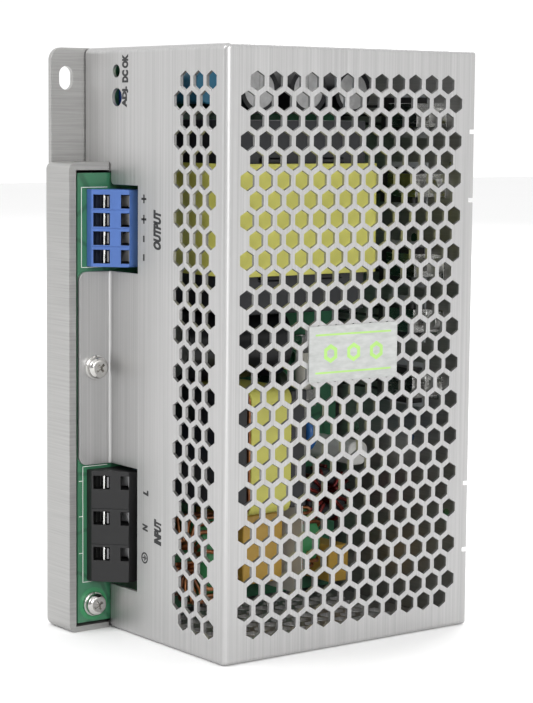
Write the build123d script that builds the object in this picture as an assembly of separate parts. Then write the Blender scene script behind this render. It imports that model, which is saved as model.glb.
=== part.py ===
"""DIN rail power supply: a folded aluminium case with cage clamp terminals, its circuit board and a rail latch.

Units are millimetres. While modelling, X runs from the outer face of the base plate to the cover's big side,
Y runs from the cover's front face to the back, and Z runs up from the bottom. save() then moves the origin to
the middle of the footprint at the bottom.
"""
from build123d import *
import math
import os

# ---- case ----
CASE_W = 70.0            # X, outer face of the base plate to the cover's side
CASE_D = 86.0            # Y, the cover's front face to its rear edge
CASE_H = 164.0           # Z
SHEET = 1.0              # cover sheet
PLATE = 1.5              # chassis sheet
BEND = 1.8               # outer radius of the cover's front corner
END_BEND = 1.3           # outer radius where the end walls fold off the side
GAP = 0.4                # between the cover and the chassis
BADGE = 0.4              # thickness of the label plate

# ---- hexagonal perforation ----
PITCH = 6.0
HEX_FLATS = 4.6
ROW = PITCH * math.sqrt(3) / 2
ROWS = 29
LATTICE_TOP = 154.44     # Z of the top row
SIDE_FIRST = 7.13        # Y of the first hole of an even row
SIDE_COUNT = 13          # holes in an even row, one fewer in an odd row
FRONT_FIRST = 48.43      # X of the first hole of an even row
FRONT_COUNT = 3

# ---- front tray, which carries the terminals ----
TRAY_OUT = 13.2          # how far the lip stands in front of the cover
TRAY_H = 132.3
TRAY_RISE = 14.6         # X of the tray's free edge
LIP = 2.2                # lip and top wall
TRAY_FLOOR = 1.6         # bottom wall
EAR_OUT = 11.0
EAR_CORNER = 3.6
SLOT_Y, SLOT_Z, SLOT_W, SLOT_L = -6.15, 155.55, 4.5, 6.6

# ---- board ----
BOARD = 1.6
BOARD_TOP = 14.2         # X of the component side
BOARD_BACK = BOARD_TOP - BOARD
LINER = 0.4              # insulating sheet on the base plate

# ---- openings in the cover's front ----
OPEN_LEFT = 15.3         # the front's low edge beside the tray
OPEN_RIGHT = 28.9
OUTPUT_OPEN = (101.9, 126.1)
INPUT_OPEN = (12.9, 47.6)
FLANGE_OUT = 10.3
LED_X, LED_Z, LED_HOLE = 17.9, 157.4, 1.8
TRIM_X, TRIM_Z, TRIM_HOLE = 18.2, 150.2, 2.5

# ---- fasteners ----
M3 = 1.5                 # shank radius
HOLE = 0.05              # radial clearance of a shank in its hole
HEAD_R, HEAD_H = 3.1, 2.1
WASHER = 0.9
SCREW_Y = -5.2
FLANGE_SCREW_Z = 75.1
BOARD_SCREW_Z = 7.5
INNER_POSTS = ((78.2, 8.0), (74.0, 150.0), (6.0, 135.0))       # Y, Z of the board screws inside

# ---- rear ----
WALL_BACK = CASE_D - SHEET                # outer face of the rear wall
WALL_IN = WALL_BACK - PLATE
TABS = ((22.7, 40.8), (122.9, 140.9))
TAB_X = 56.0
TAB_SCREW_X = 64.0
REAR_HEAD = (2.4, 1.6)                    # radius and height

# ---- terminal blocks: a 45 degree face between a short front and the top ----
BLOCK_FRONT = -7.3       # Y
BLOCK_STEP = 2.5         # height of the upright front
BLOCK_TOP = 24.2         # X
BLOCK_BACK = 6.2         # Y
OUTPUT_Z, OUTPUT_PITCH, OUTPUT_POLES = 103.4, 5.08, 4
INPUT_Z, INPUT_PITCH, INPUT_POLES = 14.6, 10.16, 3
BLOCK_END = 0.55         # wall beyond the last pole
CELL = 3.8               # width of a clamp's chamber
CELL_DOWN = 2.75         # from a pole's upper end to the middle of its chamber
WIRE_SLOT = (0.5, 5.2)   # along the 45 degree face
PUSH_SLOT = (8.3, 10.7)
WEB = 1.1                # thickness of the face between the two slots
STRIP = 0.5              # spring and contact strip
CLAMP_TRAVEL = 1.5
ROOM = 6.9               # depth of the chamber below the face

# ---- rail bracket and latch ----
RAIL_Z = 82.0            # middle of the rail
RAIL_H = 35.0
RAIL_EDGE = 1.3          # gap for the rail's 1 mm flange
BRACKET_X = (19.0, 51.0)
BRACKET_Z = (46.0, 116.0)
BRACKET = 2.0
SEAT = WALL_BACK + BRACKET                # face that meets the rail
HOOK_BACK = SEAT + 3.2
MID_X = CASE_W / 2
LATCH_W = 12.0
LATCH_WING = 1.2
LATCH_TRAVEL = 4.5
SPRING_Z = (48.0, 58.0)

ORIGIN = ((CASE_W + BADGE) / 2, (HOOK_BACK - TRAY_OUT) / 2, 0.0)

# ---- components: Y, Z of the middle unless said otherwise ----
OUTPUT_CAN_Y = (30.0, 47.0, 63.0)
OUTPUT_CAN_Z, OUTPUT_CAN_R, OUTPUT_CAN_TOP = 152.6, 6.5, 44.0
BULK = (9.0, 44.0, 31.5, 81.6, 10.2)      # Y of both ends, X, Z, radius
CHOKE_WIRE = 1.3

# ---- power devices clipped to the rear wall ----
DEVICE_Z = (146.0, 126.0, 103.0, 87.0, 68.0)
CLIP_X = 58.5
DEVICE_X = (38.0, 53.0)
CLIP = 0.6               # sheet of the clips


# ---------------------------------------------------------------- helpers
def box(x0, x1, y0, y1, z0, z1):
    """A block from its six faces."""
    return Pos((x0 + x1) / 2, (y0 + y1) / 2, (z0 + z1) / 2) * Box(x1 - x0, y1 - y0, z1 - z0)


def rod_x(x0, x1, y, z, r):
    return Pos((x0 + x1) / 2, y, z) * Rot(0, 90, 0) * Cylinder(r, x1 - x0)


def rod_y(y0, y1, x, z, r):
    return Pos(x, (y0 + y1) / 2, z) * Rot(90, 0, 0) * Cylinder(r, y1 - y0)


def rod_z(z0, z1, x, y, r):
    return Pos(x, y, (z0 + z1) / 2) * Cylinder(r, z1 - z0)


def edges_at(part, axis, *spots):
    """Edges parallel to an axis, at the given pairs of the other two coordinates."""
    chosen = []
    for edge in part.edges().filter_by(axis):
        c = edge.center()
        here = {Axis.X: (c.Y, c.Z), Axis.Y: (c.X, c.Z), Axis.Z: (c.X, c.Y)}[axis]
        if any(abs(here[0] - a) < 0.02 and abs(here[1] - b) < 0.02 for a, b in spots):
            chosen.append(edge)
    return chosen


def soften(part, axis, radius):
    """Round every edge parallel to an axis."""
    return fillet(part.edges().filter_by(axis), radius)


def outline(*points):
    return make_face(Polyline(*points, close=True))


def profile_z(points, z0, z1):
    """A closed outline in X and Y, extruded from z0 to z1."""
    return extrude(Plane.XY.offset(z0) * outline(*points), z1 - z0)


def hex_centres(first, count, step_first=0):
    """Centres of the staggered holes of one panel: odd rows are set in by half a pitch."""
    centres = []
    for row in range(ROWS):
        set_in = row % 2 == 0
        holes = count - 1 if set_in and step_first == 0 else count
        for k in range(holes):
            centres.append((first + k * PITCH + (PITCH / 2 if set_in else 0), LATTICE_TOP - row * ROW))
    return centres


def perforated(plane, corners, centres):
    """A flat piece of cover sheet with hexagonal holes, made as one face and extruded once."""
    outer = Wire(Polyline(*corners, close=True).edges())
    reach = HEX_FLATS / math.sqrt(3)
    angles = [math.radians(60 * k) for k in range(6)]
    holes = []
    for u, v in centres:
        ring = [(u + reach * math.sin(a), v + reach * math.cos(a)) for a in angles]
        holes.append(Wire(Polyline(*ring, close=True).edges()))
    return extrude(plane * Face(outer, holes), SHEET)


def save(name, shape):
    """Write one node, moved so that the origin is at the middle of the footprint."""
    solids = shape if isinstance(shape, list) else [shape]
    moved = [Pos(-ORIGIN[0], -ORIGIN[1], -ORIGIN[2]) * s for s in solids]
    whole = moved[0] if len(moved) == 1 else Compound(children=moved)
    export_step(whole, f"parts/{name}.step")


def pan_screw(x, y, z, length, turn):
    """Cross-recessed pan head screw along X on a spring washer that lies at x."""
    seat = x + WASHER
    head = Pos(seat + HEAD_H / 2, y, z) * Rot(0, 90, 0) * Cylinder(HEAD_R, HEAD_H)
    top = head.faces().sort_by(Axis.X)[-1]
    head = fillet(top.edges(), 1.3)
    recess = Box(3.0, 0.75, HEAD_H) + Box(0.75, 3.0, HEAD_H)
    head -= Pos(seat + 0.7 + HEAD_H / 2, y, z) * Rot(0, 90, 0) * Rot(0, 0, turn) * recess
    return head + rod_x(x - length, seat, y, z, M3)


# ---------------------------------------------------------------- case
def chassis():
    """Base plate with its ear and front tray, and the rear wall, from one sheet."""
    plate = box(0, PLATE, 0, WALL_BACK, 0, CASE_H)
    ear = box(0, PLATE, -EAR_OUT, 0, TRAY_H - 5, CASE_H)
    ear = fillet(edges_at(ear, Axis.X, (-EAR_OUT, CASE_H)), EAR_CORNER)
    slot = Plane.YZ * Pos(SLOT_Y, SLOT_Z) * Rot(0, 0, 90) * SlotOverall(SLOT_L, SLOT_W)
    ear -= extrude(slot, PLATE)
    wall = box(0, CASE_W - SHEET - 0.2, WALL_IN, WALL_BACK, 0, CASE_H)
    body = plate + wall
    body = fillet(edges_at(body, Axis.Z, (0, WALL_BACK)), 2.5)
    tray = box(0, TRAY_RISE, -TRAY_OUT, 0, 0, TRAY_H)
    tray = fillet(edges_at(tray, Axis.Z, (0, -TRAY_OUT)), 3.3)
    tray = fillet(edges_at(tray, Axis.X, (-TRAY_OUT, 0), (-TRAY_OUT, TRAY_H)), 2.2)
    hollow = box(PLATE, TRAY_RISE + 1, -TRAY_OUT + LIP, 1, TRAY_FLOOR, TRAY_H - LIP)
    shell = tray - hollow
    shell -= box(PLATE, TRAY_RISE + 1, -0.15, 1, -1, TRAY_H + 1)
    body += shell
    body += ear
    for y, z in screw_posts():
        body -= rod_x(-1, PLATE + 1, y, z, 2.0 + HOLE)
    for x, z in bracket_screw_spots():
        body -= rod_y(WALL_IN - 1, WALL_BACK + 1, x, z, M3 + HOLE)
    for z in tab_screw_heights():
        body -= rod_y(WALL_IN - 1, WALL_BACK + 1, TAB_SCREW_X, z, M3 + HOLE)
    for z in DEVICE_Z:
        body -= rod_y(WALL_IN - 1, WALL_BACK + 1, CLIP_X, z, M3 + HOLE)
    return body


def tab_screw_heights():
    return [(low + high) / 2 for low, high in TABS]


def screw_posts():
    """Y, Z of every post that holds the board."""
    return ((SCREW_Y, FLANGE_SCREW_Z), (SCREW_Y, BOARD_SCREW_Z)) + INNER_POSTS


def cover():
    """Front, big side, both end walls, two rear tabs and the screw flange, folded from one sheet."""
    left = PLATE + GAP
    back = WALL_IN - GAP
    side = box(CASE_W - SHEET, CASE_W, 0, CASE_D, 0, CASE_H)
    front = box(left, CASE_W, 0, SHEET, 0, CASE_H)
    ends = box(left, CASE_W, SHEET, back, 0, SHEET) + box(left, CASE_W, SHEET, back, CASE_H - SHEET, CASE_H)
    body = side + front + ends
    body = fillet(edges_at(body, Axis.Y, (CASE_W, 0), (CASE_W, CASE_H)), END_BEND)
    body = fillet(edges_at(body, Axis.Z, (CASE_W, 0)), BEND)
    body = fillet(edges_at(body, Axis.Z, (CASE_W - SHEET, SHEET)), BEND - SHEET)
    for z0, z1 in TABS:
        tab = box(TAB_X, CASE_W, WALL_BACK, CASE_D, z0, z1)
        tab = fillet(edges_at(tab, Axis.Y, (TAB_X, z0), (TAB_X, z1)), 1.5)
        body += fillet(edges_at(tab, Axis.Z, (CASE_W, CASE_D)), 0.9)
        for z in (z0 - 0.6, z1 + 0.6):
            body -= box(CASE_W - 2, CASE_W + 1, CASE_D - 1.6, CASE_D + 1, z - 0.6, z + 0.6)
    for z in tab_screw_heights():
        body -= rod_y(WALL_BACK - 1, CASE_D + 1, TAB_SCREW_X, z, M3 + HOLE)
    body -= box(0, OPEN_LEFT, -1, 2, -1, TRAY_H - 2.6)
    body -= box(BOARD_TOP, OPEN_LEFT - 0.3, -1, 2, TRAY_H - 2.7, TRAY_H - 0.4)
    for z0, z1 in (OUTPUT_OPEN, INPUT_OPEN):
        body -= box(0, OPEN_RIGHT, -1, 2, z0, z1)
    body = fillet(edges_at(body, Axis.Y, (OPEN_LEFT, OUTPUT_OPEN[1])), 1.4)
    body -= rod_y(-1, 2, LED_X, LED_Z, LED_HOLE)
    body -= rod_y(-1, 2, TRIM_X, TRIM_Z, TRIM_HOLE)
    flange_z = (INPUT_OPEN[1], OUTPUT_OPEN[0])
    flange = box(BOARD_TOP, BOARD_TOP + SHEET, -FLANGE_OUT, SHEET, *flange_z)
    rim = edges_at(flange, Axis.X, (-FLANGE_OUT, flange_z[0]), (-FLANGE_OUT, flange_z[1]))
    flange = fillet(rim, 2.4)
    flange += box(BOARD_TOP, OPEN_LEFT + 1, 0, SHEET, *flange_z)
    flange = fillet(edges_at(flange, Axis.Z, (BOARD_TOP + SHEET, 0)), 0.8)
    flange -= rod_x(BOARD_TOP - 1, BOARD_TOP + 2, SCREW_Y, FLANGE_SCREW_Z, M3 + HOLE)
    body += flange
    body = body - perforation_windows() + perforated_panels()
    return body


SIDE_WINDOW = (4.0, 82.5, 5.5, 158.5)        # Y0, Y1, Z0, Z1
FRONT_WINDOW = (45.0, 67.0, 5.5, 158.5)      # X0, X1, Z0, Z1
END_WINDOW = (5.0, 66.0, 5.0, 80.0)          # X0, X1, Y0, Y1
END_ROWS = 13
END_COUNT = 10


def window_corners(u0, u1, v0, v1):
    return [(u0, v0), (u1, v0), (u1, v1), (u0, v1)]


def perforation_windows():
    """The flat stretches that the perforated pieces fill."""
    y0, y1, z0, z1 = SIDE_WINDOW
    cut = box(CASE_W - SHEET, CASE_W, y0, y1, z0, z1)
    x0, x1, z0, z1 = FRONT_WINDOW
    cut += box(x0, x1, 0, SHEET, z0, z1)
    x0, x1, y0, y1 = END_WINDOW
    cut += box(x0, x1, y0, y1, 0, SHEET)
    cut += box(x0, x1, y0, y1, CASE_H - SHEET, CASE_H)
    return cut


def perforated_panels():
    side_plane = Plane(origin=(CASE_W - SHEET, 0, 0), x_dir=(0, 1, 0), z_dir=(1, 0, 0))
    front_plane = Plane(origin=(0, SHEET, 0), x_dir=(1, 0, 0), z_dir=(0, -1, 0))
    side = perforated(side_plane, window_corners(*SIDE_WINDOW), hex_centres(SIDE_FIRST, SIDE_COUNT))
    front = perforated(front_plane, window_corners(*FRONT_WINDOW), hex_centres(FRONT_FIRST, FRONT_COUNT, 1))
    centres = []
    for row in range(END_ROWS):
        set_in = row % 2
        for k in range(END_COUNT - set_in):
            centres.append((8.5 + k * PITCH + set_in * PITCH / 2, 11.5 + row * ROW))
    low = perforated(Plane.XY, window_corners(*END_WINDOW), centres)
    high = Pos(0, 0, CASE_H - SHEET) * perforated(Plane.XY, window_corners(*END_WINDOW), centres)
    return side + front + low + high


def badge():
    """Blank label plate in the middle of the big side, its face a little inside a raised rim."""
    middle = SIDE_FIRST + 6 * PITCH
    height = LATTICE_TOP - 14 * ROW
    plate = box(CASE_W, CASE_W + BADGE, middle - 15.4, middle + 15.4, height - 7.6, height + 7.6)
    plate = soften(plate, Axis.X, 0.5)
    face = box(CASE_W + BADGE - 0.06, CASE_W + 1, middle - 15.0, middle + 15.0, height - 7.2, height + 7.2)
    return plate - face


# ---------------------------------------------------------------- board and fasteners
def liner():
    """Insulating sheet under the board, with a hole round every post."""
    sheet = box(PLATE, PLATE + LINER, 2.5, WALL_IN - 1, 2.5, CASE_H - 4)
    for y, z in INNER_POSTS:
        sheet -= rod_x(0, PLATE + 1, y, z, 3.6)
    return sheet


def board():
    """One board: its narrow part lies in the tray, the wide part fills the case."""
    inner = box(BOARD_BACK, BOARD_TOP, SHEET + 0.6, WALL_IN - 1.5, 2.4, CASE_H - 3.5)
    apron = box(BOARD_BACK, BOARD_TOP, -TRAY_OUT + LIP + 0.7, SHEET + 0.6, 2.4, TRAY_H - LIP - 0.8)
    body = inner + apron
    for y, z in screw_posts():
        body -= rod_x(BOARD_BACK - 1, BOARD_TOP + 1, y, z, M3 + HOLE)
    return body


def posts():
    """Threaded posts pressed into the base plate."""
    group = []
    for y, z in screw_posts():
        post = rod_x(PLATE, BOARD_BACK, y, z, 3.0) + rod_x(0.2, PLATE, y, z, 2.0)
        group.append(post - rod_x(BOARD_BACK - 7, BOARD_BACK + 1, y, z, M3 + HOLE))
    return group


def board_screws():
    group = [pan_screw(BOARD_TOP + SHEET, SCREW_Y, FLANGE_SCREW_Z, 7.0, 40)]
    for k, (y, z) in enumerate(((SCREW_Y, BOARD_SCREW_Z),) + INNER_POSTS):
        group.append(pan_screw(BOARD_TOP, y, z, 6.0, 25 * k + 30))
    return group


def lock_washers():
    """Spring washer under every board screw."""
    group = []
    for y, z in screw_posts():
        seat = BOARD_TOP + (SHEET if z == FLANGE_SCREW_Z else 0.0)
        ring = rod_x(seat, seat + WASHER, y, z, 3.4) - rod_x(seat - 1, seat + 2, y, z, M3 + HOLE)
        group.append(ring - box(seat - 1, seat + 2, y - 0.2, y + 0.2, z, z + 4))
    return group


def rear_screw(x, z, seat):
    """Pan head screw driven forwards into the rear wall."""
    head_r, head_h = REAR_HEAD
    length = seat - WALL_IN - 0.1
    head = rod_y(seat, seat + head_h, x, z, head_r)
    head = fillet(head.faces().sort_by(Axis.Y)[-1].edges(), head_h * 0.5)
    cross = box(x - 0.3, x + 0.3, seat + head_h * 0.4, seat + head_h + 1, z - 1.2, z + 1.2)
    cross += box(x - 1.2, x + 1.2, seat + head_h * 0.4, seat + head_h + 1, z - 0.3, z + 0.3)
    return head - cross + rod_y(seat - length, seat, x, z, M3)


def case_screws():
    """Two screws through the cover's tabs and four through the rail bracket."""
    group = [rear_screw(TAB_SCREW_X, z, CASE_D) for z in tab_screw_heights()]
    return group + [rear_screw(x, z, SEAT) for x, z in bracket_screw_spots()]


# ---------------------------------------------------------------- terminal blocks
def face_point(along, inward):
    """Point on the 45 degree face, a distance along it from its low edge and a depth below it."""
    low_x = BOARD_TOP + BLOCK_STEP
    return (low_x + (along - inward) / math.sqrt(2), BLOCK_FRONT + (along + inward) / math.sqrt(2))


def face_outline(*pairs):
    return [face_point(along, inward) for along, inward in pairs]


def cell_mid(low, pitch, pole):
    """Z of a pole's chamber, counted from the bottom; the chamber sits near the pole's upper end."""
    return low + BLOCK_END + (pole + 1) * pitch - CELL_DOWN


def terminal_block(low, pitch, poles):
    """Insulating housing with a wire slot, a push slot and a chamber for each pole."""
    top = low + poles * pitch + 2 * BLOCK_END
    rise = (BLOCK_TOP - BOARD_TOP - BLOCK_STEP)
    shape = [(BOARD_TOP, BLOCK_FRONT), (BOARD_TOP + BLOCK_STEP, BLOCK_FRONT), (BLOCK_TOP, BLOCK_FRONT + rise),
             (BLOCK_TOP, BLOCK_BACK), (BOARD_TOP, BLOCK_BACK)]
    body = profile_z(shape, low, top)
    for x, z in ((BLOCK_TOP, low), (BLOCK_TOP, top)):
        body = fillet(edges_at(body, Axis.Y, (x, z)), 0.4)
    wire = face_outline((WIRE_SLOT[0], -1), (WIRE_SLOT[1], -1), (WIRE_SLOT[1], 4.2), (1.6, 4.2), (WIRE_SLOT[0], 3.1))
    push = face_outline((PUSH_SLOT[0], -1), (PUSH_SLOT[1], -1), (PUSH_SLOT[1], 3), (PUSH_SLOT[0], 3))
    room = face_outline((2.0, WEB), (PUSH_SLOT[1], WEB), (PUSH_SLOT[1], ROOM), (4.3, ROOM), (2.0, 4.7))
    for pole in range(poles):
        mid = cell_mid(low, pitch, pole)
        for cut in (wire, push, room):
            body -= profile_z(cut, mid - CELL / 2, mid + CELL / 2)
    for pole in range(1, poles):
        groove = low + BLOCK_END + pole * pitch
        mouth = face_outline((0.0, -0.5), (11.5, -0.5), (11.5, 0.15), (0.0, 0.15))
        body -= profile_z(mouth, groove - 0.08, groove + 0.08)
    return body


def clamp_spring(low, pitch, pole):
    """Bent strip of one cage clamp: a tongue in the wire slot, a deep bridge and a leg under the push slot."""
    mid = cell_mid(low, pitch, pole)
    t = STRIP
    near, far = 4.3, 10.5
    deep = ROOM - CLAMP_TRAVEL - 0.2
    shape = face_outline((near, 0.6), (near + t, 0.6), (near + t, deep - t), (far - t, deep - t), (far - t, 2.4),
                         (far, 2.4), (far, deep), (near, deep))
    return profile_z(shape, mid - 1.5, mid + 1.5)


def contacts(low, pitch, poles):
    """Tinned current bar of every pole, with its solder tail on the board."""
    group = []
    for pole in range(poles):
        mid = cell_mid(low, pitch, pole)
        bar = profile_z(face_outline((3.2, 0.6), (3.2 + STRIP, 0.6), (3.2 + STRIP, 4.7), (3.2, 4.7)), mid - CELL / 2,
                        mid + CELL / 2)
        group.append(bar)
    return group


# ---------------------------------------------------------------- front indicators
def led():
    """3 mm lamp lying behind its hole, with two legs."""
    y = SHEET + 0.4
    body = rod_y(y + 1.5, y + 5.0, LED_X, LED_Z, 1.5) + Pos(LED_X, y + 1.5, LED_Z) * Sphere(1.5)
    body += rod_y(y + 4.0, y + 5.0, LED_X, LED_Z, 1.9)
    for z in (LED_Z - 1.27, LED_Z + 1.27):
        body += box(LED_X - 0.25, LED_X + 0.25, y + 4.5, y + 7.0, z - 0.25, z + 0.25)
        body += box(BOARD_TOP, LED_X + 0.25, y + 6.5, y + 7.0, z - 0.25, z + 0.25)
    return body


TRIM_FACE = 3.2
TRIM_R = 2.1


def trimmer():
    """Square trimming potentiometer with a round pocket for its rotor."""
    body = box(BOARD_TOP, BOARD_TOP + 9.0, TRIM_FACE, TRIM_FACE + 5.0, TRIM_Z - 4.6, TRIM_Z + 4.6)
    body = soften(body, Axis.Y, 0.5)
    return body - rod_y(TRIM_FACE - 1, TRIM_FACE + 2.0, TRIM_X, TRIM_Z, TRIM_R + HOLE)


def trimmer_rotor():
    rotor = rod_y(TRIM_FACE - 0.3, TRIM_FACE + 1.9, TRIM_X, TRIM_Z, TRIM_R)
    return rotor - box(TRIM_X - 3, TRIM_X + 3, TRIM_FACE - 1, TRIM_FACE + 0.6, TRIM_Z - 0.4, TRIM_Z + 0.4)


# ---------------------------------------------------------------- magnetics
XF_X = (17.0, 59.0)
XF_Y = (12.0, 56.5)
XF_YOKES = ((91.9, 101.0), (134.0, 144.3))


def transformer_core():
    """Two E halves that meet in the middle of the centre and outer legs."""
    x0, x1 = XF_X[0] + 8, XF_X[1] - 1.0
    group = []
    middle = (XF_YOKES[0][1] + XF_YOKES[1][0]) / 2
    for (z0, z1), toward in zip(XF_YOKES, (1, -1)):
        half = box(x0, x1, *XF_Y, z0, z1)
        leg_z = (z1, middle - 0.02) if toward > 0 else (middle + 0.02, z0)
        for y0, y1 in ((XF_Y[0], XF_Y[0] + 8), (29.0, 39.5), (XF_Y[1] - 8, XF_Y[1])):
            half += box(x0, x1, y0, y1, *leg_z)
        group.append(half)
    return group


def transformer_bobbin():
    """Former with two flanges, a tube round the centre leg and a foot with pins' rails."""
    x0, x1 = XF_X[0] + 8, XF_X[1] - 1.0
    z0, z1 = XF_YOKES[0][1] + 0.2, XF_YOKES[1][0] - 0.2
    tube = box(x0 - 1.3, x1 + 0.4, 27.7, 40.8, z0, z1)
    flanges = box(x0 - 5, x1 + 0.6, 20.4, 48.1, z0, z0 + 1.0) + box(x0 - 5, x1 + 0.6, 20.4, 48.1, z1 - 1.0, z1)
    foot = box(BOARD_TOP, x0 - 4, 20.4, 48.1, z0 - 4, z0 + 1.0)
    foot += box(BOARD_TOP, x0 - 4, 20.4, 48.1, z1 - 1.0, z1 + 4)
    hollow = box(x0 - 0.2, x1 + 1, 28.9, 39.6, z0 - 1, z1 + 1)
    return tube + flanges + foot - hollow


def transformer_winding():
    x0, x1 = XF_X[0] + 8, XF_X[1] - 1.0
    z0, z1 = XF_YOKES[0][1] + 1.4, XF_YOKES[1][0] - 1.4
    ring = box(x0 - 4.8, x1 + 0.5, 20.6, 47.9, z0, z1)
    return ring - box(x0 - 1.4, x1 + 1, 27.6, 40.9, z0 - 1, z1 + 1)


def transformer_tape():
    """Yellow polyester tape wrapped round the whole middle."""
    x0, x1 = XF_X[0] + 2.5, XF_X[1] + 1.0
    z0, z1 = XF_YOKES[0][1] + 1.4, XF_YOKES[1][0] - 1.4
    band = soften(box(x0, x1, XF_Y[0] - 3.0, XF_Y[1] + 3.5, z0, z1), Axis.Z, 2.0)
    inside = soften(box(x0 + 0.4, x1 - 0.4, XF_Y[0] - 2.6, XF_Y[1] + 3.1, z0 - 1, z1 + 1), Axis.Z, 1.6)
    return band - inside


CHOKE_Y = (15.5, 41.5)
CHOKE_Z = (35.0, 71.0)
CHOKE_TOP = 53.0


def boost_choke_core():
    """Gapped core of the boost choke: two side legs joined behind the coil."""
    x0 = 18.0
    group = []
    for y0, y1 in ((CHOKE_Y[0], CHOKE_Y[0] + 5.5), (CHOKE_Y[1] - 5.5, CHOKE_Y[1])):
        group.append(box(x0, CHOKE_TOP - 1, y0, y1, CHOKE_Z[0] + 1.5, CHOKE_Z[1] - 1.5))
    return group


def boost_choke_coil():
    return soften(box(20.0, CHOKE_TOP - 0.6, CHOKE_Y[0] + 5.8, CHOKE_Y[1] - 5.8, *(CHOKE_Z[0] + 1, CHOKE_Z[1] - 1)),
                  Axis.Y, 3.0)


def boost_choke_tape():
    y0, y1 = CHOKE_Y[0] + 6.2, CHOKE_Y[1] - 5.2 - 1.0
    outer = soften(box(19.4, CHOKE_TOP, y0, y1, CHOKE_Z[0] + 0.4, CHOKE_Z[1] - 0.4), Axis.Y, 3.4)
    inner = soften(box(20.0, CHOKE_TOP - 0.6, y0 - 1, y1 + 1, CHOKE_Z[0] + 1, CHOKE_Z[1] - 1), Axis.Y, 3.0)
    return outer - inner


def ring_core(height, outer, inner):
    """Ring about Z with rounded rims, its middle at the origin."""
    ring = Cylinder(outer, height) - Cylinder(inner, height + 2)
    return fillet(ring.edges().filter_by(GeomType.CIRCLE), 0.6)


def ring_winding(height, outer, inner, start, span):
    """Layer of wire round a part of a ring about Z, from an angle over a span in degrees."""
    wire = CHOKE_WIRE
    air = 0.1
    layer = Cylinder(outer + wire, height + 2 * wire) - Cylinder(inner - wire, height + 9)
    layer -= Cylinder(outer + air, height + 2 * air) - Cylinder(inner - air, height + 9)
    angles = [math.radians(start + span * k / 4) for k in range(5)]
    rim = [(4 * outer * math.cos(a), 4 * outer * math.sin(a)) for a in angles]
    return layer & Pos(0, 0, -height) * extrude(outline((0, 0), *rim), 2 * height)


def ring_choke(name, place, height, outer, inner):
    """Ring core with two windings that face each other."""
    windings = [place * ring_winding(height, outer, inner, start, 150.0) for start in (15.0, 195.0)]
    return {f"{name}_core": place * ring_core(height, outer, inner), f"{name}_windings": windings}


def choke_base():
    """Moulded foot that holds the upright ring choke."""
    foot = box(BOARD_TOP, 30.0, 7.6, 18.8, 13.0, 33.0)
    return foot - rod_y(0, 30, 40.5, 23.0, 13.0)


# ---------------------------------------------------------------- capacitors and other board parts
def radial_can(y, z, r, top, name_r=0.3):
    """Aluminium can with a rolled groove near its base and a cross vent on top."""
    can = rod_x(BOARD_TOP + 1.2, top, y, z, r - name_r)
    can = fillet(can.faces().sort_by(Axis.X)[-1].edges(), 0.5)
    vent = box(top - 0.3, top + 1, y - r * 0.6, y + r * 0.6, z - 0.15, z + 0.15)
    vent += box(top - 0.3, top + 1, y - 0.15, y + 0.15, z - r * 0.6, z + r * 0.6)
    return can - vent


def can_sleeve(y, z, r, top, wall=0.3):
    """Shrunk plastic sleeve that laps over both ends of the can."""
    sleeve = rod_x(BOARD_TOP + 0.9, top + 0.2, y, z, r)
    sleeve -= rod_x(BOARD_TOP + 1.2, top, y, z, r - wall) + rod_x(top - 1, top + 1, y, z, r - 1.4)
    return sleeve - rod_x(BOARD_TOP, BOARD_TOP + 2, y, z, r - 1.4)


def output_cans():
    return [radial_can(y, OUTPUT_CAN_Z, OUTPUT_CAN_R, OUTPUT_CAN_TOP) for y in OUTPUT_CAN_Y]


def output_sleeves():
    return [can_sleeve(y, OUTPUT_CAN_Z, OUTPUT_CAN_R, OUTPUT_CAN_TOP) for y in OUTPUT_CAN_Y]


def bulk_can():
    """Main storage capacitor, lying on the board with its vented end towards the front."""
    y0, y1, x, z, r = BULK
    can = rod_y(y0 + 0.2, y1, x, z, r - 0.4)
    can = fillet(can.faces().sort_by(Axis.Y)[0].edges(), 1.0)
    vent = box(x - r * 0.6, x + r * 0.6, y0 - 1, y0 + 0.5, z - 0.3, z + 0.3)
    return can - vent - box(x - 0.3, x + 0.3, y0 - 1, y0 + 0.5, z - r * 0.6, z + r * 0.6)


def bulk_sleeve():
    y0, y1, x, z, r = BULK
    sleeve = rod_y(y0, y1 + 0.2, x, z, r) - rod_y(y0 + 0.2, y1, x, z, r - 0.4)
    return sleeve - rod_y(y0 - 1, y1 + 1, x, z, r - 1.3)


def block(x1, y, z, dy, dz, radius=0.8, x0=BOARD_TOP):
    """Moulded or potted part standing on the board, its top at x1."""
    return soften(box(x0, x1, y - dy / 2, y + dy / 2, z - dz / 2, z + dz / 2), Axis.X, radius)


def disc_part(y, z, r, thick):
    """Coated disc standing on edge, its flat faces towards the front and back."""
    body = rod_y(y - thick / 2, y + thick / 2, BOARD_TOP + r + 2.0, z, r)
    body = fillet(body.edges(), thick * 0.4)
    legs = [box(BOARD_TOP, BOARD_TOP + 3.2, y - 0.3, y + 0.3, z + s - 0.3, z + s + 0.3) for s in (-2.5, 2.5)]
    return body + legs[0] + legs[1]


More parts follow.
